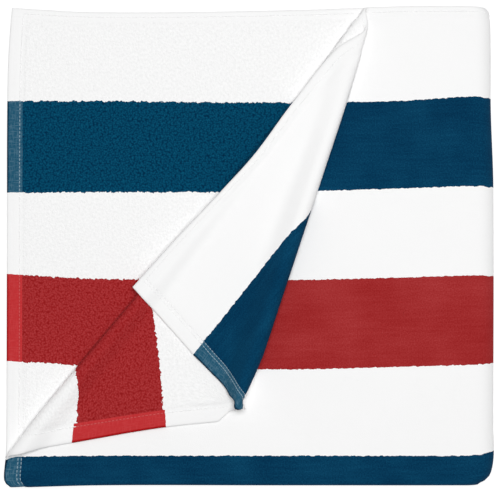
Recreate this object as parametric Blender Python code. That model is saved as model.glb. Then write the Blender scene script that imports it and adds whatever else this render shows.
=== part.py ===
"""A beach towel, folded in half along its length and twice across, its top corner turned over and back.

Metres, +Z up. The towel lies on its folded layers with the lengthwise fold towards -Y, the crosswise folds at
+X and -X, and the first hem on top at -X. The origin is the middle of the pile's underside.
"""

from math import acos, cos, pi, sin, sqrt, tan

import bmesh
import bpy
from mathutils import Vector

# The cloth, laid flat: "along" runs from the first hem to the last, "across" from one side hem to the other.
LENGTH = 1.524
WIDTH = 0.762
THICKNESS = 0.0024
PITCH = 0.0034  # between the middles of two layers that lie on each other
MIDDLE = (-0.00106, 0.00016)  # of the finished pile, from the point its folds are measured from

# The folds. A strip is the two layers that the lengthwise fold makes, and four strips lie on each other.
STRIP = 2 * PITCH
FOLD_Y = -0.1888  # where the lengthwise fold starts to turn
FOLD_ARC = pi * PITCH / 2
HEM_X = -0.1955  # the first hem, on the top strip
TOP_Z = THICKNESS / 2 + PITCH / 2 + 3 * STRIP
CROSS_FOLDS = (
    # flat run before it, radius of the strip's middle, +1 to the left as the strip runs or -1 to the right
    (0.3781, 1.5 * STRIP, -1),
    (0.3676, 0.5 * STRIP, -1),
    (0.3676, 0.5 * STRIP, 1),
)

# The two creases of the turned corner, seen from above: each is a roll that widens from its tip to its foot.
SLACK_TURN = 0.62  # how much of the turn past half a circle a wide roll takes before it settles
RELIEF = 3.0  # the settling bend's radius, in radii of the roll
CREASES = {
    # the tip and foot of its outer edge, the side that folds, seen from tip to foot (1 right, -1 left),
    # its radius at both ends, how early it widens, and how far it bows outwards
    "over": dict(
        tip=(0.0905, 0.1860),
        foot=(-0.1969, -0.1716),
        hand=1,
        narrow=0.0018,
        wide=0.0060,
        early=0.0,
        bow=0.0,
    ),
    "back": dict(
        tip=(0.0966, 0.1850),
        foot=(-0.0130, -0.1321),
        hand=-1,
        narrow=0.0022,
        wide=0.0090,
        early=0.5,
        bow=0.0025,
    ),
}
DROOP = 0.034  # radius at which the turned-back layer bends down past the first roll

# Where the turned corner's hems lie: the cloth gives on the bias, so plain folds alone would miss them.
TURNED_HEM = (
    # distance across the cloth, and where the first hem lies there once its corner is turned: x, y
    (0.0231, -0.1969, -0.1732),
    (0.0947, -0.1410, -0.1569),
    (0.1663, -0.0693, -0.1452),
    (0.2379, -0.0115, -0.1301),
    (0.3095, -0.0463, -0.0862),
    (0.3810, -0.0946, -0.0322),
)
TURNED_SIDE = (
    # where the turned-back side hem lies, from the cloth's corner up to the tip: x, y
    (-0.0946, -0.0322),
    (-0.0592, 0.0072),
    (-0.0238, 0.0448),
    (0.0028, 0.0741),
    (0.0340, 0.1162),
    (0.0700, 0.1605),
    (0.0936, 0.1861),
)

# How far the finished pile is off a true rectangle.
EDGES = (
    # place in y, shift in x of the left edge, of the right edge
    (0.1895, 0.0032, -0.0050),
    (0.1860, 0.0029, -0.0028),
    (0.1800, 0.0023, -0.0021),
    (0.1500, 0.0002, -0.0016),
    (0.1100, -0.0006, -0.0016),
    (0.0460, -0.0008, 0.0005),
    (-0.1500, -0.0013, 0.0005),
    (-0.1720, -0.0020, 0.0008),
    (-0.1830, -0.0030, -0.0012),
    (-0.1880, -0.0020, -0.0048),
    (-0.1905, 0.0012, -0.0100),
)
EDGE_REACH = 0.060  # how far in from an edge its shift is felt
LIFT_X = (-0.1953, -0.1212, 0.0262, 0.1204, 0.1808, 0.1953)
LIFTS = (
    # place in y, shift in y at each place of LIFT_X
    (0.1895, (0.0032, -0.0003, 0.0012, 0.0042, 0.0044, 0.0035)),
    (0.1180, (-0.0004, -0.0005, -0.0018, -0.0004, 0.0032, 0.0016)),
    (0.0460, (-0.0025, -0.0025, -0.0018, 0.0006, 0.0027, 0.0015)),
    (-0.0250, (0.0035, -0.0005, -0.0014, 0.0006, 0.0024, 0.0015)),
    (-0.0970, (0.0049, 0.0009, -0.0017, 0.0004, 0.0021, 0.0030)),
    (-0.1680, (-0.0004, 0.0004, 0.0004, 0.0004, 0.0008, 0.0040)),
    (-0.1905, (-0.0020, 0.0000, 0.0000, 0.0000, 0.0000, 0.0000)),
)
SWELLS = (
    # softly raised or sunken places of the pile: x, y, radius, share of the height
    (-0.090, 0.090, 0.110, -0.020),
    (0.100, -0.060, 0.120, 0.020),
    (0.150, 0.130, 0.090, -0.015),
)

# The mesh.
CELL = 0.052
CORNER_CELL = 0.030  # in the run that holds the turned corner
NEAR_FOLD = 0.010  # the first row up from the lengthwise fold
FOLD_STEPS = 6
OUTER_FOLD_STEPS = 9
ROLL_STEPS = 7
RIDE_STEPS = (-0.5, 0.5, 1.2, 2.2, 3.4)  # radii of the first roll, in from its outer edge


def between(rows, place):
    """A smooth value from rows of (place, value), places rising or falling."""
    rows = sorted(rows)
    if place <= rows[0][0]:
        return rows[0][1]
    if place >= rows[-1][0]:
        return rows[-1][1]
    i = max(k for k in range(len(rows) - 1) if rows[k][0] <= place)
    (x0, y0), (x1, y1) = rows[i], rows[i + 1]
    before = rows[max(i - 1, 0)]
    after = rows[min(i + 2, len(rows) - 1)]
    slope0 = (y1 - before[1]) / (x1 - before[0])
    slope1 = (after[1] - y0) / (after[0] - x0)
    span = x1 - x0
    q = (place - x0) / span
    rise = (3 - 2 * q) * q * q
    bend = span * (slope0 * q * (1 - q) ** 2 - slope1 * q * q * (1 - q))
    return y0 + (y1 - y0) * rise + bend


def smooth_step(q):
    q = min(max(q, 0), 1)
    return q * q * (3 - 2 * q)


def roll_shape(radius):
    """The turn past half a circle, and the straight run, of a roll whose cloth comes to rest a PITCH up."""
    turn = SLACK_TURN * acos(min(1, (PITCH / radius + RELIEF - 1) / (RELIEF + 1)))
    if turn < 1e-4:
        return 0, 0
    drop = radius * (1 + cos(turn)) - RELIEF * radius * (1 - cos(turn)) - PITCH
    return turn, drop / sin(turn)


def roll_point(run, radius):
    """Forward and up from where a roll leaves the flat, for cloth that is `run` past that line."""
    turn, straight = roll_shape(radius)
    arc = radius * (pi + turn)
    if run <= arc:
        return radius * sin(run / radius), radius * (1 - cos(run / radius))
    forward, up = -radius * sin(turn), radius * (1 + cos(turn))
    run -= arc
    if run <= straight:
        return forward - run * cos(turn), up - run * sin(turn)
    forward -= straight * cos(turn)
    up -= straight * sin(turn)
    run -= straight
    relief = RELIEF * radius
    left = max(turn - run / relief, 0)
    forward -= relief * (sin(turn) - sin(left))
    up -= relief * (cos(left) - cos(turn))
    return forward - max(run - relief * turn, 0), up


def roll_top(forward, radius):
    """Height over the resting cloth of a roll's upper side, and past its crest of a layer draped on it."""
    turn, straight = roll_shape(radius)
    if forward > 0:
        return 2 * radius - PITCH - forward**2 / (2 * DROOP)
    arc_end = -radius * sin(turn)
    if forward > arc_end:
        return radius + sqrt(radius**2 - forward**2) - PITCH
    straight_end = arc_end - straight * cos(turn)
    if forward > straight_end:
        return radius * (1 + cos(turn)) - (arc_end - forward) * tan(turn) - PITCH
    relief = RELIEF * radius
    sine = max(forward - straight_end + relief * sin(turn), 0) / relief
    return relief * (1 - sqrt(1 - sine**2))


class Crease:
    """One slanting crease: a roll along the line from its tip to its foot."""

    def __init__(self, tip, foot, hand, narrow, wide, early, bow):
        self.tip = Vector(tip)
        self.run = (Vector(foot) - self.tip).length
        self.way = (Vector(foot) - self.tip) / self.run
        self.side = hand * Vector((self.way.y, -self.way.x))
        self.narrow, self.wide, self.early, self.bow = narrow, wide, early, bow

    def radius(self, v):
        q = min(max(v / self.run, 0), 1)
        return self.narrow + (self.wide - self.narrow) * q * (1 + self.early * (1 - q))

    def bulge(self, v):
        q = min(max(v / self.run, 0), 1)
        return self.bow * 6.75 * q * (1 - q) ** 2

    def taken(self, v):
        """How much further the cloth reaches than twice its distance to the outer edge."""
        radius = self.radius(v)
        turn, straight = roll_shape(radius)
        end = radius * (pi + turn) + straight + RELIEF * radius * turn
        return end + roll_point(end, radius)[0] - 2 * radius

    def swing(self, v):
        step = 0.002
        return (self.taken(v + step) - self.taken(v - step)) / (2 * step)

    def place(self, point):
        """Distance along the crease, and past its outer edge."""
        offset = Vector(point) - self.tip
        v = offset.dot(self.way)
        return v, offset.dot(self.side) - self.bulge(v)

    def at(self, v, u):
        return self.tip + self.way * v + self.side * (u + self.bulge(v))

    def turn(self, point):
        """Where a point of the flat cloth goes, how far up, and how much of the half turn it has made."""
        v, u = self.place(point)
        radius = self.radius(v)
        run = u + radius
        if run <= 0:
            return Vector(point), 0, 0
        forward, up = roll_point(run, radius)
        return self.at(v + self.swing(v) * run, forward - radius), up, min(run / (pi * radius), 1)


OVER = Crease(**CREASES["over"])
BACK = Crease(**CREASES["back"])


def plainly_turned(flat):
    """The top layer's corner turned over and back by plain folds: place from above, height, both turns."""
    point, up, over = OVER.turn(flat)
    if over <= 0.5:
        return point, up, over, 0
    point, more, back = BACK.turn(point)
    return point, up + more, over, back


def side_drawn(flat):
    """The turned corner with its side hem drawn out to its place."""
    point, up, over, back = plainly_turned(flat)
    if back > 0:
        v, u = BACK.place(point)
        share = min(max(u / between(column(SIDE_PULLS, 1), v), 0), 1) * smooth_step(2 * back - 1)
        pull = Vector((between(column(SIDE_PULLS, 2), v), between(column(SIDE_PULLS, 3), v)))
        point = point + pull * share
    return point, up, over, back


def drawn(flat):
    """The turned corner with both its hems drawn out to their places."""
    point, up, over, back = side_drawn(flat)
    if over > 0:
        across = flat[1] - FOLD_Y + FOLD_ARC / 2
        to_crease = OVER.tip.x + (flat[1] - OVER.tip.y) * OVER.way.x / OVER.way.y - HEM_X
        share = min(max(1 - (flat[0] - HEM_X) / max(to_crease, PITCH), 0), 1) ** 2
        pull = Vector((between(column(HEM_PULLS, 1), across), between(column(HEM_PULLS, 2), across)))
        point = point + pull * share * smooth_step(over)
    return point, up, over, back


def corner(flat):
    """The top layer's place from above, and its height over the layer's own level."""
    point, up, _, back = drawn(flat)
    if back > 0:
        v, u = OVER.place(point)
        radius = OVER.radius(v)
        up += max(roll_top(u + radius, radius), 0) * smooth_step(2 * back - 1)
    return point, up


def column(rows, n):
    """Each row's first value with its nth."""
    return [(row[0], row[n]) for row in rows]


def lying(point):
    """Where a place on the top layer comes to lie in the finished pile."""
    return settled((*point, TOP_Z)).xy + Vector(MIDDLE)


def side_pulls():
    """Rows for the turned-back side hem: place down the second crease, distance from it, shift in x and y."""
    rows, along = [], 0
    for n, spot in enumerate(TURNED_SIDE):
        along += (Vector(spot) - Vector(TURNED_SIDE[max(n - 1, 0)])).length
        point = plainly_turned((HEM_X + along, FOLD_Y + WIDTH / 2 - FOLD_ARC / 2))[0]
        rows.append((*BACK.place(point), *(Vector(spot) - lying(point))))
    return rows


def hem_pulls():
    """Rows for the turned hem: distance across, and the shift in x and y that brings it to its place."""
    rows = []
    for across, x, y in TURNED_HEM:
        point = side_drawn((HEM_X, FOLD_Y + across - FOLD_ARC / 2))[0]
        rows.append((across, *(Vector((x, y)) - lying(point))))
    return rows


def lengthwise(across):
    """The lengthwise fold: y, and height from the strip's middle."""
    if abs(across) >= FOLD_ARC / 2:
        height = PITCH / 2 if across > 0 else -PITCH / 2
        return FOLD_Y + abs(across) - FOLD_ARC / 2, height
    angle = 2 * across / PITCH
    return FOLD_Y - PITCH / 2 * cos(angle), PITCH / 2 * sin(angle)


def crosswise(along, height):
    """The crosswise folds: x and z of a point that is `height` from the strip's middle."""
    spot, heading = Vector((HEM_X, TOP_Z)), 0

    def left_of(angle):
        return Vector((-sin(angle), cos(angle)))

    for flat, radius, side in CROSS_FOLDS:
        run = min(along, flat)
        spot += run * Vector((cos(heading), sin(heading)))
        along -= run
        if along <= 0:
            break
        angle = min(along / radius, pi)
        centre = spot + side * radius * left_of(heading)
        heading += side * angle
        spot = centre - side * radius * left_of(heading)
        along = max(along - pi * radius, 0)
    else:
        spot += along * Vector((cos(heading), sin(heading)))
    return spot + height * left_of(heading)


def settled(point):
    """The whole pile, a little out of true."""
    x, y, z = point
    row = [(place, between(list(zip(LIFT_X, shifts)), x)) for place, shifts in LIFTS]
    left = between([(place, shift) for place, shift, _ in EDGES], y)
    right = between([(place, shift) for place, _, shift in EDGES], y)
    from_left = x + 0.1957
    from_right = 0.1957 - x
    new_x = x + left * smooth_step(1 - from_left / EDGE_REACH)
    new_x += right * smooth_step(1 - from_right / EDGE_REACH)
    new_y = y + between(row, y)
    swell = sum(
        share * smooth_step(1 - sqrt((x - at_x) ** 2 + (y - at_y) ** 2) / reach)
        for at_x, at_y, reach, share in SWELLS
    )
    return Vector((new_x - MIDDLE[0], new_y - MIDDLE[1], max(z, 0) * (1 + swell)))


SIDE_PULLS = side_pulls()
HEM_PULLS = hem_pulls()


def folded(along, across):
    """The place in the pile of a point of the flat cloth, before the pile settles."""
    y, height = lengthwise(across)
    if across > FOLD_ARC / 2 and along < CROSS_FOLDS[0][0]:
        point, up = corner((HEM_X + along, y))
        return Vector((point.x, point.y, TOP_Z + height + up))
    x, z = crosswise(along, height)
    return Vector((x, y, z))


def roll_runs(radius):
    """The runs at which a roll is cut: evenly round its turn, then where it settles."""
    turn, straight = roll_shape(radius)
    arc = radius * (pi + turn)
    relief = RELIEF * radius * turn
    round_it = [arc * k / ROLL_STEPS for k in range(ROLL_STEPS + 1)]
    return round_it + [arc + straight + relief * share for share in (0, 0.5, 1)]


def over_crossing(station, point):
    """Above 0 for flat cloth past a station of the first roll."""
    v, u = OVER.place(point)
    radius = OVER.radius(v)
    return u + radius - roll_runs(radius)[station]


def back_crossing(station, point):
    """Above 0 for flat cloth past a station of the second roll."""
    point, _, turned = OVER.turn(point)
    if turned < 1:
        return -1
    v, u = BACK.place(point)
    radius = BACK.radius(v)
    return u + radius - roll_runs(radius)[station]


def ride_crossing(inside, point):
    """Above 0 for turned-back cloth that comes this near the first roll's outer edge, or passes it."""
    point, _, _, back = drawn(point)
    if back < 1:
        return -1
    v, u = OVER.place(point)
    return u + inside * OVER.radius(v)


def across_where(crossing, station, along):
    """How far across the flat cloth a crossing lies at one place along it."""
    low, high = FOLD_ARC / 2, WIDTH
    for _ in range(40):
        middle = (low + high) / 2
        flat = (HEM_X + along, FOLD_Y + middle - FOLD_ARC / 2)
        if crossing(station, flat) > 0:
            high = middle
        else:
            low = middle
    return high


def in_corner(along, across):
    flat = (HEM_X + along, FOLD_Y + across - FOLD_ARC / 2)
    return along < CROSS_FOLDS[0][0] and across > FOLD_ARC / 2 and over_crossing(0, flat) > 0


def cut(sheet, first, second, chosen):
    """A straight cut across the flat mesh through two places, in the faces whose middle is chosen."""
    geometry = set()
    for face in sheet.faces:
        middle = face.calc_center_median()
        if chosen(middle.x, middle.y):
            geometry.update([face, *face.edges, *face.verts])
    way = (Vector(second) - Vector(first)).normalized()
    bmesh.ops.bisect_plane(
        sheet,
        geom=list(geometry),
        dist=3e-5,
        plane_co=(*first, 0),
        plane_no=(way.y, -way.x, 0),
    )


def fold_places():
    """The places along the towel at which its crosswise folds and flat runs are cut."""
    places, along = [], 0
    for flat, radius, _ in (*CROSS_FOLDS, (LENGTH, 0, 0)):
        run = min(flat, LENGTH - along)
        cells = round(run / (CELL if along else CORNER_CELL))
        places += [along + run * k / cells for k in range(cells + 1)]
        along += run
        steps = OUTER_FOLD_STEPS if radius > STRIP else FOLD_STEPS
        places += [along + pi * radius * k / steps for k in range(1, steps)]
        along += pi * radius
    return places


def cut_columns(sheet):
    for along in fold_places():
        if 0 < along < LENGTH:
            cut(sheet, (along, 0), (along, 1), lambda x, y: True)


def cut_corner(sheet):
    """Follows both slanting rolls, and the ride of the turned-back layer, from column to column."""
    run = CROSS_FOLDS[0][0]
    cells = round(run / CORNER_CELL)
    columns = [run * k / cells for k in range(cells + 1)]
    stations = len(roll_runs(OVER.wide))
    lines = [(over_crossing, station) for station in range(stations)]
    lines += [(back_crossing, station) for station in range(stations)]
    lines += [(ride_crossing, -inside) for inside in RIDE_STEPS]
    for crossing, station in lines:
        for left, right in zip(columns, columns[1:]):
            cut(
                sheet,
                (left, across_where(crossing, station, left)),
                (right, across_where(crossing, station, right)),
                lambda x, y: left < x < right and y > FOLD_ARC / 2,
            )


def cut_rows(sheet):
    """The lengthwise fold, and rows of cells wherever the corner's own lines don't run."""
    for k in range(FOLD_STEPS + 1):
        across = FOLD_ARC * (k / FOLD_STEPS - 0.5)
        cut(sheet, (0, across), (1, across), lambda x, y: True)
    leg = WIDTH / 2 - FOLD_ARC / 2
    rows = round(leg / CELL)
    for up in (NEAR_FOLD, *(leg * k / rows for k in range(1, rows))):
        for side in (-1, 1):
            across = side * (FOLD_ARC / 2 + up)
            cut(sheet, (0, across), (1, across), lambda x, y: not in_corner(x, y))


def cloth_material():
    material = bpy.data.materials.new("towel_cloth")
    material.use_nodes = True
    shader = material.node_tree.nodes["Principled BSDF"]
    shader.inputs["Base Color"].default_value = (0.86, 0.86, 0.85, 1)
    shader.inputs["Roughness"].default_value = 0.95
    shader.inputs["Metallic"].default_value = 0
    return material


def make_towel():
    """One sheet: meshed flat, cut where it bends, folded, and given its thickness."""
    sheet = bmesh.new()
    bmesh.ops.create_grid(sheet, x_segments=1, y_segments=1, size=0.5)
    bmesh.ops.scale(sheet, vec=(LENGTH, WIDTH, 1), verts=sheet.verts)
    bmesh.ops.translate(sheet, vec=(LENGTH / 2, 0, 0), verts=sheet.verts)
    cut_columns(sheet)
    for across in (-FOLD_ARC / 2, FOLD_ARC / 2):
        cut(sheet, (0, across), (1, across), lambda x, y: True)
    cut_corner(sheet)
    cut_rows(sheet)
    bmesh.ops.triangulate(sheet, faces=[face for face in sheet.faces if len(face.verts) > 4])
    for vert in sheet.verts:
        vert.co = folded(vert.co.x, vert.co.y)
    middle = bpy.data.meshes.new("cloth_middle")
    sheet.to_mesh(middle)
    sheet.free()
    towel = bpy.data.objects.new("towel_cloth", middle)
    bpy.context.collection.objects.link(towel)
    solid = towel.modifiers.new("thickness", "SOLIDIFY")
    solid.thickness = THICKNESS
    solid.offset = 0
    solid.use_even_offset = True
    cloth = bpy.data.meshes.new_from_object(towel.evaluated_get(bpy.context.evaluated_depsgraph_get()))
    towel.modifiers.clear()
    for vert in cloth.vertices:
        vert.co = settled(vert.co)
    cloth.materials.append(cloth_material())
    cloth.shade_smooth()
    towel.data = cloth
    return towel


for old in list(bpy.data.objects):
    bpy.data.objects.remove(old)
make_towel()
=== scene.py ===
"""The look of a striped beach towel, folded in eight on a pale floor, its top corner turned over and back.

Metres, +Z up. "Along" runs over the flat cloth from its first hem to its last, and "across" from one
side hem to the other, with 0 in the middle of the navy middle stripe.
"""

from math import acos, cos, pi, sin, sqrt, tan

import bmesh
import bpy
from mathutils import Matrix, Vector, noise


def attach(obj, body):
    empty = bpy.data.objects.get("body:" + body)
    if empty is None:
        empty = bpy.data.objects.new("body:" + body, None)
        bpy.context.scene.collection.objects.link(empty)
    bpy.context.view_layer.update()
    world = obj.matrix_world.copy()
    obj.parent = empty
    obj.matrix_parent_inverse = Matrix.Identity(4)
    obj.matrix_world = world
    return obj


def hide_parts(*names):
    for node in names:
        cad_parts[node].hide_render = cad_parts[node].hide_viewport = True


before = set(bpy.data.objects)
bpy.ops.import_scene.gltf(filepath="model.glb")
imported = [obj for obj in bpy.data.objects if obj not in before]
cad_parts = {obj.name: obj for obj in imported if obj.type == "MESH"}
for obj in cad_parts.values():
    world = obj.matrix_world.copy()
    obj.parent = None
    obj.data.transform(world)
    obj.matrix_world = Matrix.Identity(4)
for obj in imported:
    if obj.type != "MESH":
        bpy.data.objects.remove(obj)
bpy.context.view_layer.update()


# ---- The cloth -----------------------------------------------------------------------------------
# One length of cotton cloth, sheared to velour on its face and left in loops on its back, dyed in stripes.
# It was folded in half along its length and twice across, then one corner of the top layer was turned over
# to the right and its point turned back to the left.

LENGTH = 1.524
WIDTH = 0.762
PILE = 0.0030  # through the whole cloth, loops and velour
PITCH = 0.0034  # between the middles of two layers that lie on each other
MIDDLE = (-0.00106, 0.00016)  # of the finished pile, from the point its folds are measured from

# The folds. A strip is the two layers that the lengthwise fold makes, and four strips lie on each other.
STRIP = 2 * PITCH
FOLD_Y = -0.1888  # where the lengthwise fold starts to turn
FOLD_ARC = pi * PITCH / 2
HEM_X = -0.1955  # the first hem, on the top strip
LOWEST = 0.0012 + PITCH / 2
TOP_Z = LOWEST + 3 * STRIP
CROSS_FOLDS = (
    # flat run before it, radius of the strip's middle, +1 to the left as the strip runs or -1 to the right
    (0.3781, 1.5 * STRIP, -1),
    (0.3676, 0.5 * STRIP, -1),
    (0.3676, 0.5 * STRIP, 1),
)

# The two creases of the turned corner, seen from above: each is a roll that widens from its tip to its foot.
SLACK_TURN = 0.62  # how much of the turn past half a circle a wide roll takes before it settles
RELIEF = 3.0  # the settling bend's radius, in radii of the roll
CREASES = {
    # the tip and foot of its outer edge, the side that folds, seen from tip to foot (1 right, -1 left),
    # its radius at both ends, how early it widens, and how far it bows outwards
    "over": dict(
        tip=(0.0905, 0.1860),
        foot=(-0.1969, -0.1716),
        hand=1,
        narrow=0.0018,
        wide=0.0060,
        early=0.0,
        bow=0.0,
    ),
    "back": dict(
        tip=(0.0966, 0.1850),
        foot=(-0.0130, -0.1321),
        hand=-1,
        narrow=0.0022,
        wide=0.0090,
        early=0.5,
        bow=0.0025,
    ),
}
BOW_PEAK = 27 / 4  # brings the bow's curve to 1 at its highest
DROOP = 0.034  # radius at which the turned-back layer bends down past the first roll

# Where the turned corner's hems lie: the cloth gives on the bias, so plain folds alone would miss them.
TURNED_HEM = (
    # distance across the cloth, and where the first hem lies there once its corner is turned: x, y
    (0.0231, -0.1969, -0.1732),
    (0.0947, -0.1410, -0.1569),
    (0.1663, -0.0693, -0.1452),
    (0.2379, -0.0115, -0.1301),
    (0.3095, -0.0463, -0.0862),
    (0.3810, -0.0946, -0.0322),
)
TURNED_SIDE = (
    # where the turned-back side hem lies, from the cloth's corner up to the tip: x, y
    (-0.0946, -0.0322),
    (-0.0592, 0.0072),
    (-0.0238, 0.0448),
    (0.0028, 0.0741),
    (0.0340, 0.1162),
    (0.0700, 0.1605),
    (0.0936, 0.1861),
)

# How far the finished pile is off a true rectangle.
EDGES = (
    # place in y, shift in x of the left edge, of the right edge
    (0.1895, 0.0032, -0.0050),
    (0.1860, 0.0029, -0.0028),
    (0.1800, 0.0023, -0.0021),
    (0.1500, 0.0002, -0.0016),
    (0.1100, -0.0006, -0.0016),
    (0.0460, -0.0008, 0.0005),
    (-0.1500, -0.0013, 0.0005),
    (-0.1720, -0.0020, 0.0008),
    (-0.1830, -0.0030, -0.0012),
    (-0.1880, -0.0020, -0.0048),
    (-0.1905, 0.0012, -0.0100),
)
EDGE_REACH = 0.060  # how far in from an edge its shift is felt
LIFT_X = (-0.1953, -0.1212, 0.0262, 0.1204, 0.1808, 0.1953)
LIFTS = (
    # place in y, shift in y at each place of LIFT_X
    (0.1895, (0.0032, -0.0003, 0.0012, 0.0042, 0.0044, 0.0035)),
    (0.1180, (-0.0004, -0.0005, -0.0018, -0.0004, 0.0032, 0.0016)),
    (0.0460, (-0.0025, -0.0025, -0.0018, 0.0006, 0.0027, 0.0015)),
    (-0.0250, (0.0035, -0.0005, -0.0014, 0.0006, 0.0024, 0.0015)),
    (-0.0970, (0.0049, 0.0009, -0.0017, 0.0004, 0.0021, 0.0030)),
    (-0.1680, (-0.0004, 0.0004, 0.0004, 0.0004, 0.0008, 0.0040)),
    (-0.1905, (-0.0020, 0.0000, 0.0000, 0.0000, 0.0000, 0.0000)),
)
SWELLS = (
    # softly raised or sunken places of the pile: x, y, radius, share of the height
    (-0.090, 0.090, 0.110, -0.020),
    (0.100, -0.060, 0.120, 0.020),
    (0.150, 0.130, 0.090, -0.015),
)
HALF_SIDE = 0.1957  # of the pile, as far as its edges' shifts are measured from
RIPPLES = (
    # smaller unevenness: wavelength, share of the height
    (0.070, 0.020),
    (0.024, 0.007),
)


def between(rows, place):
    """A smooth value from rows of (place, value), places rising or falling."""
    rows = sorted(rows)
    if place <= rows[0][0]:
        return rows[0][1]
    if place >= rows[-1][0]:
        return rows[-1][1]
    i = max(k for k in range(len(rows) - 1) if rows[k][0] <= place)
    (x0, y0), (x1, y1) = rows[i], rows[i + 1]
    before = rows[max(i - 1, 0)]
    after = rows[min(i + 2, len(rows) - 1)]
    slope0 = (y1 - before[1]) / (x1 - before[0])
    slope1 = (after[1] - y0) / (after[0] - x0)
    span = x1 - x0
    q = (place - x0) / span
    rise = (3 - 2 * q) * q * q
    bend = span * (slope0 * q * (1 - q) ** 2 - slope1 * q * q * (1 - q))
    return y0 + (y1 - y0) * rise + bend


def smooth_step(q):
    q = min(max(q, 0), 1)
    return q * q * (3 - 2 * q)


def roll_shape(radius):
    """The turn past half a circle, and the straight run, of a roll whose cloth comes to rest a PITCH up."""
    turn = SLACK_TURN * acos(min(1, (PITCH / radius + RELIEF - 1) / (RELIEF + 1)))
    if turn < 1e-4:
        return 0, 0
    drop = radius * (1 + cos(turn)) - RELIEF * radius * (1 - cos(turn)) - PITCH
    return turn, drop / sin(turn)


def roll_point(run, radius):
    """Forward and up from where a roll leaves the flat, for cloth that is `run` past that line."""
    turn, straight = roll_shape(radius)
    arc = radius * (pi + turn)
    if run <= arc:
        return radius * sin(run / radius), radius * (1 - cos(run / radius))
    forward, up = -radius * sin(turn), radius * (1 + cos(turn))
    run -= arc
    if run <= straight:
        return forward - run * cos(turn), up - run * sin(turn)
    forward -= straight * cos(turn)
    up -= straight * sin(turn)
    run -= straight
    relief = RELIEF * radius
    left = max(turn - run / relief, 0)
    forward -= relief * (sin(turn) - sin(left))
    up -= relief * (cos(left) - cos(turn))
    return forward - max(run - relief * turn, 0), up


def roll_top(forward, radius):
    """Height over the resting cloth of a roll's upper side, and past its crest of a layer draped on it."""
    turn, straight = roll_shape(radius)
    if forward > 0:
        return 2 * radius - PITCH - forward**2 / (2 * DROOP)
    arc_end = -radius * sin(turn)
    if forward > arc_end:
        return radius + sqrt(radius**2 - forward**2) - PITCH
    straight_end = arc_end - straight * cos(turn)
    if forward > straight_end:
        return radius * (1 + cos(turn)) - (arc_end - forward) * tan(turn) - PITCH
    relief = RELIEF * radius
    sine = max(forward - straight_end + relief * sin(turn), 0) / relief
    return relief * (1 - sqrt(1 - sine**2))


class Crease:
    """One slanting crease: a roll along the line from its tip to its foot."""

    def __init__(self, tip, foot, hand, narrow, wide, early, bow):
        self.tip = Vector(tip)
        self.run = (Vector(foot) - self.tip).length
        self.way = (Vector(foot) - self.tip) / self.run
        self.side = hand * Vector((self.way.y, -self.way.x))
        self.narrow, self.wide, self.early, self.bow = narrow, wide, early, bow

    def radius(self, v):
        q = min(max(v / self.run, 0), 1)
        return self.narrow + (self.wide - self.narrow) * q * (1 + self.early * (1 - q))

    def bulge(self, v):
        q = min(max(v / self.run, 0), 1)
        return self.bow * BOW_PEAK * q * (1 - q) ** 2

    def taken(self, v):
        """How much further the cloth reaches than twice its distance to the outer edge."""
        radius = self.radius(v)
        turn, straight = roll_shape(radius)
        end = radius * (pi + turn) + straight + RELIEF * radius * turn
        return end + roll_point(end, radius)[0] - 2 * radius

    def swing(self, v):
        step = 0.002
        return (self.taken(v + step) - self.taken(v - step)) / (2 * step)

    def place(self, point):
        """Distance along the crease, and past its outer edge."""
        offset = Vector(point) - self.tip
        v = offset.dot(self.way)
        return v, offset.dot(self.side) - self.bulge(v)

    def at(self, v, u):
        return self.tip + self.way * v + self.side * (u + self.bulge(v))

    def turn(self, point):
        """Where a point of the flat cloth goes, how far up, and how much of the half turn it has made."""
        v, u = self.place(point)
        radius = self.radius(v)
        run = u + radius
        if run <= 0:
            return Vector(point), 0, 0
        forward, up = roll_point(run, radius)
        return self.at(v + self.swing(v) * run, forward - radius), up, min(run / (pi * radius), 1)


OVER = Crease(**CREASES["over"])
BACK = Crease(**CREASES["back"])


def plainly_turned(flat):
    """The top layer's corner turned over and back by plain folds: place from above, height, both turns."""
    point, up, over = OVER.turn(flat)
    if over <= 0.5:
        return point, up, over, 0
    point, more, back = BACK.turn(point)
    return point, up + more, over, back


def side_drawn(flat):
    """The turned corner with its side hem drawn out to its place."""
    point, up, over, back = plainly_turned(flat)
    if back > 0:
        v, u = BACK.place(point)
        share = min(max(u / between(column(SIDE_PULLS, 1), v), 0), 1) * smooth_step(2 * back - 1)
        pull = Vector((between(column(SIDE_PULLS, 2), v), between(column(SIDE_PULLS, 3), v)))
        point = point + pull * share
    return point, up, over, back


def drawn(flat):
    """The turned corner with both its hems drawn out to their places."""
    point, up, over, back = side_drawn(flat)
    if over > 0:
        across = flat[1] - FOLD_Y + FOLD_ARC / 2
        to_crease = OVER.tip.x + (flat[1] - OVER.tip.y) * OVER.way.x / OVER.way.y - HEM_X
        share = min(max(1 - (flat[0] - HEM_X) / max(to_crease, PITCH), 0), 1) ** 2
        pull = Vector((between(column(HEM_PULLS, 1), across), between(column(HEM_PULLS, 2), across)))
        point = point + pull * share * smooth_step(over)
    return point, up, over, back


def corner(flat):
    """The top layer's place from above, and its height over the layer's own level."""
    point, up, _, back = drawn(flat)
    if back > 0:
        v, u = OVER.place(point)
        radius = OVER.radius(v)
        up += max(roll_top(u + radius, radius), 0) * smooth_step(2 * back - 1)
    return point, up


def column(rows, n):
    """Each row's first value with its nth."""
    return [(row[0], row[n]) for row in rows]


def lying(point):
    """Where a place on the top layer comes to lie in the finished pile."""
    return settled((*point, TOP_Z)).xy + Vector(MIDDLE)


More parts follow.
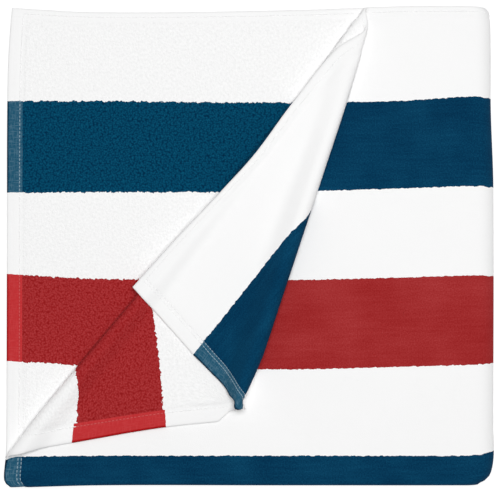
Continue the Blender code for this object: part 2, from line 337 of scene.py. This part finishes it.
def side_pulls():
    """Rows for the turned-back side hem: place along the second crease and from it, shift in x and y."""
    rows, along = [], 0
    for n, spot in enumerate(TURNED_SIDE):
        along += (Vector(spot) - Vector(TURNED_SIDE[max(n - 1, 0)])).length
        point = plainly_turned((HEM_X + along, FOLD_Y + WIDTH / 2 - FOLD_ARC / 2))[0]
        rows.append((*BACK.place(point), *(Vector(spot) - lying(point))))
    return rows


def hem_pulls():
    """Rows for the turned hem: distance across, and the shift in x and y that brings it to its place."""
    rows = []
    for across, x, y in TURNED_HEM:
        point = side_drawn((HEM_X, FOLD_Y + across - FOLD_ARC / 2))[0]
        rows.append((across, *(Vector((x, y)) - lying(point))))
    return rows


def lengthwise(across):
    """The lengthwise fold: y, and height from the strip's middle."""
    if abs(across) >= FOLD_ARC / 2:
        height = PITCH / 2 if across > 0 else -PITCH / 2
        return FOLD_Y + abs(across) - FOLD_ARC / 2, height
    angle = 2 * across / PITCH
    return FOLD_Y - PITCH / 2 * cos(angle), PITCH / 2 * sin(angle)


def crosswise(along, height):
    """The crosswise folds: x and z of a point that is `height` from the strip's middle."""
    spot, heading = Vector((HEM_X, TOP_Z)), 0

    def left_of(angle):
        return Vector((-sin(angle), cos(angle)))

    for flat, radius, side in CROSS_FOLDS:
        run = min(along, flat)
        spot += run * Vector((cos(heading), sin(heading)))
        along -= run
        if along <= 0:
            break
        angle = min(along / radius, pi)
        centre = spot + side * radius * left_of(heading)
        heading += side * angle
        spot = centre - side * radius * left_of(heading)
        along = max(along - pi * radius, 0)
    else:
        spot += along * Vector((cos(heading), sin(heading)))
    return spot + height * left_of(heading)


def settled(point):
    """The whole pile, a little out of true."""
    x, y, z = point
    row = [(place, between(list(zip(LIFT_X, shifts)), x)) for place, shifts in LIFTS]
    left = between([(place, shift) for place, shift, _ in EDGES], y)
    right = between([(place, shift) for place, _, shift in EDGES], y)
    from_left = x + HALF_SIDE
    from_right = HALF_SIDE - x
    new_x = x + left * smooth_step(1 - from_left / EDGE_REACH)
    new_x += right * smooth_step(1 - from_right / EDGE_REACH)
    new_y = y + between(row, y)
    swell = sum(
        share * smooth_step(1 - sqrt((x - at_x) ** 2 + (y - at_y) ** 2) / reach)
        for at_x, at_y, reach, share in SWELLS
    )
    swell += sum(share * noise.noise(Vector((x, y, 0)) / wave) for wave, share in RIPPLES)
    return Vector((new_x - MIDDLE[0], new_y - MIDDLE[1], max(z, 0) * (1 + swell)))


SIDE_PULLS = side_pulls()
HEM_PULLS = hem_pulls()


def folded(along, across):
    """The place in the pile of a point of the flat cloth, before the pile settles."""
    y, height = lengthwise(across)
    if across > FOLD_ARC / 2 and along < CROSS_FOLDS[0][0]:
        point, up = corner((HEM_X + along, y))
        return Vector((point.x, point.y, TOP_Z + height + up))
    x, z = crosswise(along, height)
    return Vector((x, y, z))


# The hems: where their rows of stitches run and the pile starts, in from the edge, and then how much of
# the full thickness the cloth has there.
END_ROWS = (0.0102, 0.0128)
END_HEM = 0.0124
END_PROFILE = (
    (0.0000, 0.20),
    (0.0005, 0.55),
    (0.0014, 0.74),
    (0.0034, 0.78),
    (0.0062, 0.76),
    (0.0088, 0.72),
    (END_ROWS[0], 0.56),
    (0.0114, 0.66),
    (END_HEM, 0.58),
    (0.0136, 0.80),
    (0.0152, 0.97),
    (0.0172, 1.00),
)
SIDE_ROW = 0.0042
SIDE_HEM = 0.0078
SIDE_PROFILE = (
    (0.0000, 0.20),
    (0.0005, 0.55),
    (0.0014, 0.76),
    (0.0028, 0.80),
    (SIDE_ROW, 0.62),
    (0.0056, 0.78),
    (0.0068, 0.72),
    (SIDE_HEM, 0.60),
    (0.0088, 0.80),
    (0.0102, 0.97),
    (0.0120, 1.00),
)

# The toe, where the second crease meets the hem: it is drawn together, and its end is blunt like a finger's.
TOE_X = -0.0093
TOE_REACH = (0.030, 0.052)  # to each side, where the drawing together starts to fade and is gone
TOE_WIDE_REACH = (0.005, 0.012)  # the same where it is wider than plain
TOE_END = -0.1290  # the cloth beyond this place in y is drawn up to it
TOE_END_REACH = (0.005, 0.018)  # the same for that drawing up
TOE_DRAWN_UP = 0.85  # share of the way
TOE_WIDTHS = (
    # place in y, share of the plain width
    (-0.0862, 1.00),
    (-0.1007, 0.91),
    (-0.1128, 0.76),
    (-0.1184, 0.72),
    (-0.1226, 0.50),
    (-0.1262, 0.85),
    (-0.1290, 1.25),
    (-0.1345, 1.10),
    (-0.1400, 1.00),
)

TOP_CELL = 0.0028  # of the mesh, on the top layer; the other layers' cells are 2 and 4 times as large
INNER_CELL = 2 * TOP_CELL
HIDDEN_CELL = 4 * TOP_CELL
TOP_STRIP = CROSS_FOLDS[0][0] + pi * CROSS_FOLDS[0][1] + HIDDEN_CELL
FOLD_CELLS = 10  # round each fold


def spread(start, stop, cell):
    """Evenly spaced places between start and stop."""
    count = max(round((stop - start) / cell), 1)
    return [start + (stop - start) * k / count for k in range(1, count)]


def columns():
    """The places along the cloth at which its mesh is cut."""
    hem = END_PROFILE[-1][0]
    places = [place for place, _ in END_PROFILE[1:]]
    along = 0
    for flat, radius, _ in CROSS_FOLDS:
        places += spread(max(along, hem), along + flat, HIDDEN_CELL if along else TOP_CELL)
        along += flat
        places += [along + pi * radius * k / FOLD_CELLS for k in range(FOLD_CELLS + 1)]
        along += pi * radius
    places += spread(along, LENGTH - hem, HIDDEN_CELL)
    return places + [LENGTH - place for place, _ in END_PROFILE[1:]]


def cut(sheet, spot, normal, chosen=None):
    """A straight cut through the flat mesh, in the faces whose middle is chosen."""
    faces, edges, verts = sheet.faces[:], sheet.edges[:], sheet.verts[:]
    if chosen:
        faces = [face for face in faces if chosen(face.calc_center_median())]
        edges = list({edge for face in faces for edge in face.edges})
        verts = list({vert for face in faces for vert in face.verts})
    bmesh.ops.bisect_plane(sheet, geom=faces + edges + verts, dist=1e-5, plane_co=spot, plane_no=normal)


def cut_rows(sheet):
    """Rows everywhere, and finer ones on the top strip."""
    hems = [WIDTH / 2 - place for place, _ in SIDE_PROFILE[1:]]
    fold = [FOLD_ARC * (k / FOLD_CELLS - 0.5) for k in range(FOLD_CELLS + 1)]
    coarse = spread(FOLD_ARC / 2, hems[-1], HIDDEN_CELL)
    for across in (*fold, *hems, *coarse, *(-place for place in hems), *(-place for place in coarse)):
        cut(sheet, (0, across, 0), (0, 1, 0))
    marks = [FOLD_ARC / 2, *coarse, hems[-1]]
    for low, high in zip(marks, marks[1:]):
        for across in spread(low, high, TOP_CELL):
            cut(sheet, (0, across, 0), (0, 1, 0), lambda at: low < at.y < high and at.x < TOP_STRIP)
        for across in spread(-high, -low, INNER_CELL):
            cut(sheet, (0, across, 0), (0, 1, 0), lambda at: -high < at.y < -low and at.x < TOP_STRIP)


def cloth_share(along, across):
    """How much of its full thickness the cloth has: less on its hems, least at their stitches and edges."""
    end = between(END_PROFILE, min(along, LENGTH - along))
    side = between(SIDE_PROFILE, WIDTH / 2 - abs(across))
    return min(end, side)


def flat_cloth():
    """The cloth as it was cut: a fine flat mesh, with its flat places kept as its UV map."""
    sheet = bmesh.new()
    bmesh.ops.create_grid(sheet, x_segments=1, y_segments=1, size=0.5)
    bmesh.ops.scale(sheet, vec=(LENGTH, WIDTH, 1), verts=sheet.verts)
    bmesh.ops.translate(sheet, vec=(LENGTH / 2, 0, 0), verts=sheet.verts)
    for along in columns():
        cut(sheet, (along, 0, 0), (1, 0, 0))
    cut_rows(sheet)
    flat = sheet.loops.layers.uv.new("flat")
    thickness = sheet.verts.layers.deform.verify()
    for face in sheet.faces:
        middle = face.calc_center_median()
        from_end = min(middle.x, LENGTH - middle.x)
        face.material_index = int(from_end < END_HEM or WIDTH / 2 - abs(middle.y) < SIDE_HEM)
        for loop in face.loops:
            loop[flat].uv = loop.vert.co.xy
    for vert in sheet.verts:
        vert[thickness][0] = cloth_share(vert.co.x, vert.co.y)
    return sheet


def pinched(point):
    """The toe drawn together, where it lies over the pile's own top layer."""
    x, y, z = point
    if z < TOP_Z + PITCH:
        return point
    wider = between(TOE_WIDTHS, y) - 1
    near, far = TOE_REACH if wider < 0 else TOE_WIDE_REACH
    felt = smooth_step((far - abs(x - TOE_X)) / (far - near))
    drawn_in = (x - TOE_X) * wider * felt
    near, far = TOE_END_REACH
    felt = smooth_step((far - abs(x - TOE_X)) / (far - near))
    drawn_up = TOE_DRAWN_UP * max(TOE_END - y, 0) * felt
    return Vector((x + drawn_in, y + drawn_up, z))


def make_cloth(finishes):
    """The flat cloth folded, given its thickness, and settled. Its back takes the last two finishes."""
    sheet = flat_cloth()
    for vert in sheet.verts:
        vert.co = folded(vert.co.x, vert.co.y)
    middle = bpy.data.meshes.new("cloth_middle")
    sheet.to_mesh(middle)
    sheet.free()
    for finish in finishes:
        middle.materials.append(finish)
    cloth = bpy.data.objects.new("folded_towel_cloth", middle)
    bpy.context.collection.objects.link(cloth)
    cloth.vertex_groups.new(name="pile")
    solid = cloth.modifiers.new("thickness", "SOLIDIFY")
    solid.thickness = PILE
    solid.offset = 0
    solid.use_even_offset = True
    solid.vertex_group = "pile"
    solid.material_offset = 2
    made = bpy.data.meshes.new_from_object(cloth.evaluated_get(bpy.context.evaluated_depsgraph_get()))
    cloth.modifiers.clear()
    cloth.vertex_groups.clear()
    for vert in made.vertices:
        vert.co = settled(pinched(vert.co))
    made.shade_smooth()
    cloth.data = made
    return cloth


# Dyes by how the eye sees them, 0 to 255, on velour, on loops and on the hems' weave and its paler threads.
DYES = {
    "velour": dict(navy=(5, 58, 89), white=(250, 250, 250), red=(161, 45, 46)),
    "loops": dict(navy=(2, 69, 99), white=(250, 250, 250), red=(166, 47, 49)),
    "hem": dict(navy=(32, 84, 110), white=(249, 249, 249), red=(192, 50, 53)),
    "hem_thread": dict(navy=(104, 138, 156), white=(250, 250, 250), red=(204, 74, 76)),
    "stitch": dict(navy=(150, 176, 190), white=(250, 250, 250), red=(212, 96, 96)),
}
STRIPES = (
    # from the middle stripe outwards: where each begins, its dye,
    # and where it begins on the hem of the half that is turned over, which was turned under a little askew
    (0.0000, "navy", 0.0000),
    (0.0231, "white", 0.0231),
    (0.0947, "red", 0.0920),
    (0.1663, "white", 0.1676),
    (0.2379, "navy", 0.2335),
    (0.3095, "white", 0.3092),
)


def add(tree, kind, inputs=None, **settings):
    """A node with its settings, and its inputs set or linked."""
    made = tree.nodes.new(kind)
    for name, value in settings.items():
        setattr(made, name, value)
    for name, value in (inputs or {}).items():
        if isinstance(value, bpy.types.NodeSocket):
            tree.links.new(value, made.inputs[name])
        else:
            made.inputs[name].default_value = value
    return made


def maths(tree, operation, *values, **settings):
    return add(tree, "ShaderNodeMath", dict(enumerate(values)), operation=operation, **settings).outputs[0]


def spanned(tree, value, low, high, to_low, to_high):
    """A value that runs from low to high, made to run from to_low to to_high."""
    ends = {"Value": value, "From Min": low, "From Max": high, "To Min": to_low, "To Max": to_high}
    return add(tree, "ShaderNodeMapRange", ends).outputs["Result"]


def roughened(tree, shader, height, strength, depth):
    """A finish given small relief."""
    relief = {"Height": height, "Strength": strength, "Distance": depth}
    tree.links.new(add(tree, "ShaderNodeBump", relief).outputs["Normal"], shader.inputs["Normal"])


def linear(dye):
    """A dye as light: from what the eye sees to what a shader takes."""
    return [((c / 255 + 0.055) / 1.055) ** 2.4 for c in dye] + [1]


def stripes(tree, kind, ragged, tooth):
    """The striped dye of one side of the cloth, its edges ragged by so much at so fine a tooth."""
    place = add(tree, "ShaderNodeUVMap", uv_map="flat").outputs["UV"]
    wander = add(
        tree,
        "ShaderNodeTexNoise",
        {"Vector": place, "Scale": 1 / tooth, "Detail": 2.0, "Roughness": 0.6},
        noise_dimensions="2D",
    ).outputs["Fac"]
    across = add(tree, "ShaderNodeSeparateXYZ", {"Vector": place}).outputs["Y"]
    turned_over = maths(tree, "GREATER_THAN", across, 0.0)
    shift = maths(tree, "MULTIPLY_ADD", wander, 2 * ragged, -ragged)
    edge = maths(tree, "ADD", maths(tree, "ABSOLUTE", across), shift)
    colour = linear(DYES[kind][STRIPES[0][1]])
    for plain, dye, askew in STRIPES[1:]:
        drawn = askew - plain if kind.startswith("hem") else 0.0
        start = maths(tree, "MULTIPLY_ADD", turned_over, drawn, plain)
        past = maths(tree, "GREATER_THAN", edge, start)
        paint = {0: past, 6: colour, 7: linear(DYES[kind][dye])}
        colour = add(tree, "ShaderNodeMix", paint, data_type="RGBA").outputs[2]
    return place, colour


def deepened(tree, colour, factor, least, most):
    """A dye made deeper by a power that runs with a factor from 0 to 1: painted shade where light bounces
    about in the loops, on their clumps and on a hem's fold, and random tone in the velour.
    """
    power = spanned(tree, factor, 0.0, 1.0, most, least)
    return add(tree, "ShaderNodeGamma", {"Color": colour, "Gamma": power}).outputs["Color"]


def cloth_material(name):
    material = bpy.data.materials.new(name)
    material.use_nodes = True
    shader = material.node_tree.nodes["Principled BSDF"]
    shader.inputs["Roughness"].default_value = 0.95
    shader.inputs["Specular IOR Level"].default_value = 0.03
    shader.inputs["Sheen Weight"].default_value = 0.01
    shader.inputs["Sheen Roughness"].default_value = 0.5
    return material, shader


def stretched(tree, place, fine_along, fine_across):
    """Streaky noise: how many waves it has in a metre along the cloth and across it."""
    drawn_out = {"Vector": place, "Scale": (fine_along, fine_across, 1)}
    where = add(tree, "ShaderNodeMapping", drawn_out).outputs["Vector"]
    grain = {"Vector": where, "Scale": 1.0, "Detail": 2.0}
    return add(tree, "ShaderNodeTexNoise", grain, noise_dimensions="2D").outputs["Fac"]


VELOUR_EDGE = (0.0011, 0.0045)  # how ragged a stripe's edge is, and how fine its tooth
VELOUR_TONES = (
    # waves in a metre along the cloth and across it, least and most depth of the dye
    (900, 900, 0.80, 1.20),
    (30, 420, 0.93, 1.07),
    (28, 28, 0.89, 1.11),
)
TUFTS = 1100  # in a metre
VELOUR_RELIEF = (0.25, 0.0003)  # its strength and depth


def velour():
    """The sheared face: short upright pile, nearly even, with faint rows of weave and brushed patches."""
    material, shader = cloth_material("velour")
    tree = material.node_tree
    place, colour = stripes(tree, "velour", *VELOUR_EDGE)
    for fine_along, fine_across, least, most in VELOUR_TONES:
        colour = deepened(tree, colour, stretched(tree, place, fine_along, fine_across), least, most)
    tree.links.new(colour, shader.inputs["Base Color"])
    roughened(tree, shader, stretched(tree, place, TUFTS, TUFTS), *VELOUR_RELIEF)
    return material


LOOP = 0.0015  # between the middles of two loops
CLUMPS = 480  # of loops, in a metre
CLUMP_HEIGHT = 0.8  # of a loop's
LOOP_EDGE = (0.0019, 0.0032)
CROWN_SHADE_TONES = (0.86, 1.32)  # painted shade in the hollows: least and most depth of the dye, from the loops' crowns to the hollows
# painted light and shade: the dye deeper on the lower clumps of loops and paler on the higher ones
CLUMP_SHADE_TONES = (0.84, 1.16)
CLUMP_SHADE = (0.93, 1.07)  # painted light and shade: least and most brightness, from the lower clumps to the higher
LOOP_RELIEF = (0.50, 0.0005)


def loops():
    """The back: close-set terry loops, with painted shade in the hollows between them and on the lower
    clumps.
    """
    material, shader = cloth_material("terry_loops")
    tree = material.node_tree
    place, colour = stripes(tree, "loops", *LOOP_EDGE)
    loop = add(
        tree,
        "ShaderNodeTexVoronoi",
        {"Vector": place, "Scale": 1 / LOOP, "Randomness": 1.0},
        voronoi_dimensions="2D",
    ).outputs["Distance"]
    clump = stretched(tree, place, CLUMPS, CLUMPS)
    crown = maths(tree, "SUBTRACT", 1.0, loop, use_clamp=True)
    # painted shade: the dye deepened in the hollows between loops
    colour = deepened(tree, colour, crown, *CROWN_SHADE_TONES)
    # painted light and shade: lower clumps darker, higher clumps lighter
    colour = deepened(tree, colour, clump, *CLUMP_SHADE_TONES)
    dim, bright = CLUMP_SHADE
    shade = maths(tree, "MULTIPLY_ADD", clump, bright - dim, dim)
    shaded = add(tree, "ShaderNodeVectorMath", {0: colour, "Scale": shade}, operation="SCALE")
    colour = shaded.outputs["Vector"]
    tree.links.new(colour, shader.inputs["Base Color"])
    roughened(tree, shader, maths(tree, "MULTIPLY_ADD", clump, CLUMP_HEIGHT, crown), *LOOP_RELIEF)
    return material


THREADS = (1100, 150)  # of the weave, in a metre: how close they lie, and how often one comes and goes
THREAD_SHOWS = (0.50, 0.72)  # from where a pale thread starts to show to where it shows in full
SHADED_RIM = 0.0017  # the hem's fold: painted shade on its rounded edge, with its compact yarn dyed deeper
RIM_SHADE_DEPTH = 1.9  # how dark the painted shade and deeper dye make it
HEM_EDGE = (0.0004, 0.0030)
HEM_RELIEF = (0.25, 0.0003)


def from_edge(tree, place):
    """How far a place is from the nearest edge of the cloth."""
    parts = add(tree, "ShaderNodeSeparateXYZ", {"Vector": place})
    end = maths(tree, "PINGPONG", parts.outputs["X"], LENGTH / 2)
    side = maths(tree, "SUBTRACT", WIDTH / 2, maths(tree, "ABSOLUTE", parts.outputs["Y"]))
    return maths(tree, "MINIMUM", end, side)


def hem_weave(name, paler):
    """A hem: flat plain weave, its pale threads showing among the dyed ones, its fold darkened by painted
    shade and deeper dye.
    """
    material, shader = cloth_material(name)
    tree = material.node_tree
    place, colour = stripes(tree, "hem", *HEM_EDGE)
    _, thread = stripes(tree, "hem_thread", *HEM_EDGE)
    close, loose = THREADS
    weft = stretched(tree, place, close, loose)
    warp = stretched(tree, place, loose, close)
    shows = maths(tree, "MAXIMUM", weft, warp)
    pale = spanned(tree, shows, *THREAD_SHOWS, 0.0, paler)
    colour = add(tree, "ShaderNodeMix", {0: pale, 6: colour, 7: thread}, data_type="RGBA").outputs[2]
    # painted shade on the hem's rounded fold, with its deeper dye: the colour darker towards the cloth's
    # edge
    out_of_rim_shade = spanned(tree, from_edge(tree, place), 0.0, SHADED_RIM, 0.0, 1.0)
    colour = deepened(tree, colour, out_of_rim_shade, 1.0, RIM_SHADE_DEPTH)
    tree.links.new(colour, shader.inputs["Base Color"])
    roughened(tree, shader, shows, *HEM_RELIEF)
    return material


# how much of the pale threads shows on a hem's face and on its back
FACE_THREADS = 0.48
BACK_THREADS = 0.42
finishes = [velour(), hem_weave("hem_face", FACE_THREADS), loops(), hem_weave("hem_back", BACK_THREADS)]
cloth = make_cloth(finishes)
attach(cloth, "root")
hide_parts("towel_cloth")


# ---- The hems' stitches --------------------------------------------------------------------------
# Each hem is turned under twice and sewn down by a lockstitch of pale cotton thread, one row along each
# side hem and two along each end hem. The rows show on both sides of the cloth, but for an end hem's inner
# row, which the loops hide on the back.

STITCH = 0.0030  # from one stitch to the next
STITCH_SIZE = (0.0028, 0.00085, 0.00070)  # long, wide and high
STITCH_LIFT = 0.00012  # of its middle, over the cloth


def seam_places():
    """The middle of each stitch on the flat cloth, the way it runs, and the sides it shows on."""
    outer, inner = END_ROWS
    for row, sides in ((outer, (1, -1)), (inner, (1,))):
        count = round((WIDTH - 2 * SIDE_ROW) / STITCH)
        for k in range(count):
            across = -WIDTH / 2 + SIDE_ROW + (WIDTH - 2 * SIDE_ROW) * (k + 0.5) / count
            yield row, across, (0, 1), sides
            yield LENGTH - row, across, (0, 1), sides
    count = round((LENGTH - 2 * outer) / STITCH)
    for k in range(count):
        along = outer + (LENGTH - 2 * outer) * (k + 0.5) / count
        yield along, SIDE_ROW - WIDTH / 2, (1, 0), (1, -1)
        yield along, WIDTH / 2 - SIDE_ROW, (1, 0), (1, -1)


def on_cloth(along, across, side):
    """A place on the cloth's face (side 1) or back (-1), and the cloth's two ways and normal there."""
    reach = 0.0004
    middle = folded(along, across)
    east = (folded(along + reach, across) - folded(along - reach, across)).normalized()
    north = (folded(along, across + reach) - folded(along, across - reach)).normalized()
    up = east.cross(north).normalized() * side
    spot = middle + up * PILE / 2 * cloth_share(along, across)
    return spot, east, north, up


def make_stitches():
    thread = bmesh.new()
    flat = thread.loops.layers.uv.new("flat")
    long, wide, high = STITCH_SIZE
    for along, across, (run_east, run_north), sides in seam_places():
        for side in sides:
            spot, east, north, up = on_cloth(along, across, side)
            way = east * run_east + north * run_north
            made = bmesh.ops.create_icosphere(thread, subdivisions=1, radius=0.5)["verts"]
            for vert in made:
                x, y, z = vert.co
                vert.co = spot + way * z * long + way.cross(up) * x * wide + up * (y * high + STITCH_LIFT)
            for face in {face for vert in made for face in vert.link_faces}:
                for loop in face.loops:
                    loop[flat].uv = (along, across)
    for vert in thread.verts:
        vert.co = settled(pinched(vert.co))
    mesh = bpy.data.meshes.new("hem_stitches")
    thread.to_mesh(mesh)
    thread.free()
    stitches = bpy.data.objects.new("hem_stitches", mesh)
    bpy.context.collection.objects.link(stitches)
    mesh.shade_smooth()
    return stitches


def stitch_thread():
    material, shader = cloth_material("stitch_thread")
    tree = material.node_tree
    _, colour = stripes(tree, "stitch", 0.0, 0.003)
    tree.links.new(colour, shader.inputs["Base Color"])
    return material


stitches = make_stitches()
stitches.data.materials.append(stitch_thread())
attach(stitches, "root")


# ---- The studio ----------------------------------------------------------------------------------
# A plain white table, a soft white surround, one large soft light above, and the camera straight overhead.

PIXEL = 0.0008055  # of the photograph, on the pile's top
FRAME_WIDTH = 500 * PIXEL
VIEW_MIDDLE = (-0.0004 - MIDDLE[0], 0.0016 - MIDDLE[1])  # what lies under the camera
CAMERA_HEIGHT = 2.40
TABLE_SIZE = 6.0
TABLE_TONE = 0.30
TABLE_GLOW = 0.85  # keeps the table as white as the photograph's ground
SURROUND_GLOW = 0.24


def make_table():
    board = bmesh.new()
    bmesh.ops.create_grid(board, x_segments=1, y_segments=1, size=TABLE_SIZE / 2)
    mesh = bpy.data.meshes.new("table_top")
    board.to_mesh(mesh)
    board.free()
    table = bpy.data.objects.new("table_top", mesh)
    bpy.context.collection.objects.link(table)
    material = bpy.data.materials.new("white_table")
    material.use_nodes = True
    shader = material.node_tree.nodes["Principled BSDF"]
    shader.inputs["Base Color"].default_value = (TABLE_TONE, TABLE_TONE, TABLE_TONE, 1)
    shader.inputs["Roughness"].default_value = 0.9
    shader.inputs["Specular IOR Level"].default_value = 0.0
    shader.inputs["Emission Color"].default_value = (1, 1, 1, 1)
    shader.inputs["Emission Strength"].default_value = TABLE_GLOW
    mesh.materials.append(material)
    return table


def soft_light(name, place, size, power):
    lamp = bpy.data.lights.new(name, "AREA")
    lamp.shape = "DISK"
    lamp.size = size
    lamp.energy = power
    light = bpy.data.objects.new(name, lamp)
    light.location = place
    light.rotation_euler = (-Vector(place)).to_track_quat("-Z", "Y").to_euler()
    bpy.context.collection.objects.link(light)
    return light


make_table()
soft_light("overhead", place=(0.10, 0.16, 2.0), size=1.0, power=31)

surround = bpy.data.worlds.new("surround")
surround.use_nodes = True
surround.node_tree.nodes["Background"].inputs["Color"].default_value = (1, 1, 1, 1)
surround.node_tree.nodes["Background"].inputs["Strength"].default_value = SURROUND_GLOW
bpy.context.scene.world = surround
bpy.context.scene.view_settings.view_transform = "Standard"

lens = bpy.data.cameras.new("overhead_camera")
lens.sensor_width = 36
lens.lens = lens.sensor_width * (CAMERA_HEIGHT - TOP_Z) / FRAME_WIDTH
lens.clip_end = 20
camera = bpy.data.objects.new("overhead_camera", lens)
camera.location = (*VIEW_MIDDLE, CAMERA_HEIGHT)
bpy.context.collection.objects.link(camera)
bpy.context.scene.camera = camera
